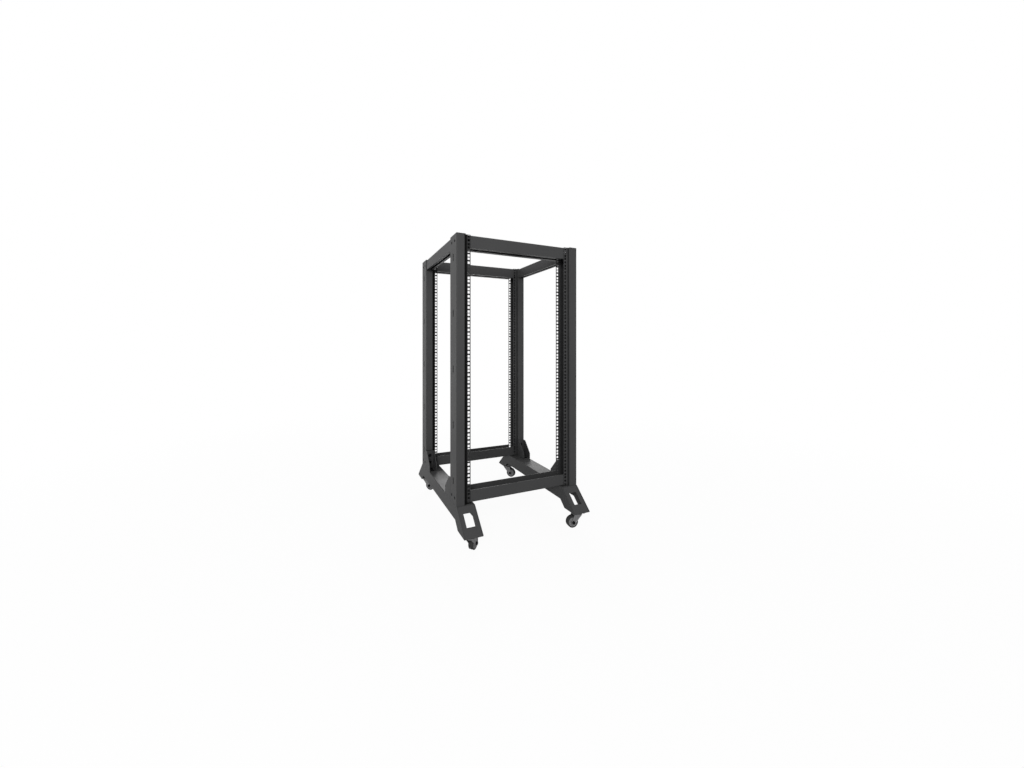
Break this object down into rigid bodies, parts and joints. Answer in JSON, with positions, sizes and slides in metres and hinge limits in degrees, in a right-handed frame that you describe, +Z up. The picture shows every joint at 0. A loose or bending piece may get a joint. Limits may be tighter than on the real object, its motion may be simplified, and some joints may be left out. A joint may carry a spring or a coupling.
{
  "type": "four post open frame rack on castors",
  "caption": "Open frame equipment rack: stepped posts with square unit holes, joined by beams and rails, standing on two base rails with sloped feet and swivel castors.",
  "frame": {"origin": "on the floor, under the middle of the frame", "axes": "+Z up, -Y the front, X across"},
  "size_m": [0.575, 0.708, 1.2228],
  "materials": {
    "black_paint": "fine textured matt powder coat",
    "castor_steel": "dull zinc plate",
    "wheel_centre": "moulded grey plastic",
    "tyre_rubber": "black rubber"
  },
  "bodies": {
    "frame": {"post_front_left": "black_paint", "foot_bracket_front_left": "black_paint", "gusset_front_left": "black_paint", "castor_mount_front_left": "castor_steel", "post_front_right": "black_paint", "foot_bracket_front_right": "black_paint", "gusset_front_right": "black_paint", "castor_mount_front_right": "castor_steel", "post_rear_left": "black_paint", "foot_bracket_rear_left": "black_paint", "gusset_rear_left": "black_paint", "castor_mount_rear_left": "castor_steel", "post_rear_right": "black_paint", "foot_bracket_rear_right": "black_paint", "gusset_rear_right": "black_paint", "castor_mount_rear_right": "castor_steel", "beam_front_top": "black_paint", "beam_front_bottom": "black_paint", "beam_rear_top": "black_paint", "beam_rear_bottom": "black_paint", "top_rail_left": "black_paint", "base_rail_left": "black_paint", "top_rail_right": "black_paint", "base_rail_right": "black_paint"},
    "castor_front_left": {"castor_fork_front_left": "castor_steel", "castor_axle_front_left": "castor_steel"},
    "wheel_front_left": {"castor_hub_front_left": "wheel_centre", "castor_tyre_front_left": "tyre_rubber"},
    "castor_front_right": {"castor_fork_front_right": "castor_steel", "castor_axle_front_right": "castor_steel"},
    "wheel_front_right": {"castor_hub_front_right": "wheel_centre", "castor_tyre_front_right": "tyre_rubber"},
    "castor_rear_left": {"castor_fork_rear_left": "castor_steel", "castor_axle_rear_left": "castor_steel"},
    "wheel_rear_left": {"castor_hub_rear_left": "wheel_centre", "castor_tyre_rear_left": "tyre_rubber"},
    "castor_rear_right": {"castor_fork_rear_right": "castor_steel", "castor_axle_rear_right": "castor_steel"},
    "wheel_rear_right": {"castor_hub_rear_right": "wheel_centre", "castor_tyre_rear_right": "tyre_rubber"}
  },
  "joints": [
    {"name": "swivel_front_left", "type": "hinge", "parent": "frame", "child": "castor_front_left", "pos_m": [-0.249, -0.318, 0.059], "axis": [0, 0, 1], "continuous": true},
    {"name": "roll_front_left", "type": "hinge", "parent": "castor_front_left", "child": "wheel_front_left", "pos_m": [-0.23117, -0.30194, 0.025], "axis": [-0.6691, 0.7431, 0], "continuous": true},
    {"name": "swivel_front_right", "type": "hinge", "parent": "frame", "child": "castor_front_right", "pos_m": [0.249, -0.318, 0.059], "axis": [0, 0, 1], "continuous": true},
    {"name": "roll_front_right", "type": "hinge", "parent": "castor_front_right", "child": "wheel_front_right", "pos_m": [0.22523, -0.31466, 0.025], "axis": [-0.1392, -0.9903, 0], "continuous": true},
    {"name": "swivel_rear_left", "type": "hinge", "parent": "frame", "child": "castor_rear_left", "pos_m": [-0.249, 0.318, 0.059], "axis": [0, 0, 1], "continuous": true},
    {"name": "roll_rear_left", "type": "hinge", "parent": "castor_rear_left", "child": "wheel_rear_left", "pos_m": [-0.23357, 0.29962, 0.025], "axis": [0.766, 0.6428, 0], "continuous": true},
    {"name": "swivel_rear_right", "type": "hinge", "parent": "frame", "child": "castor_rear_right", "pos_m": [0.249, 0.318, 0.059], "axis": [0, 0, 1], "continuous": true},
    {"name": "roll_rear_right", "type": "hinge", "parent": "castor_rear_right", "child": "wheel_rear_right", "pos_m": [0.26311, 0.29858, 0.025], "axis": [0.809, 0.5878, 0], "continuous": true}
  ]
}
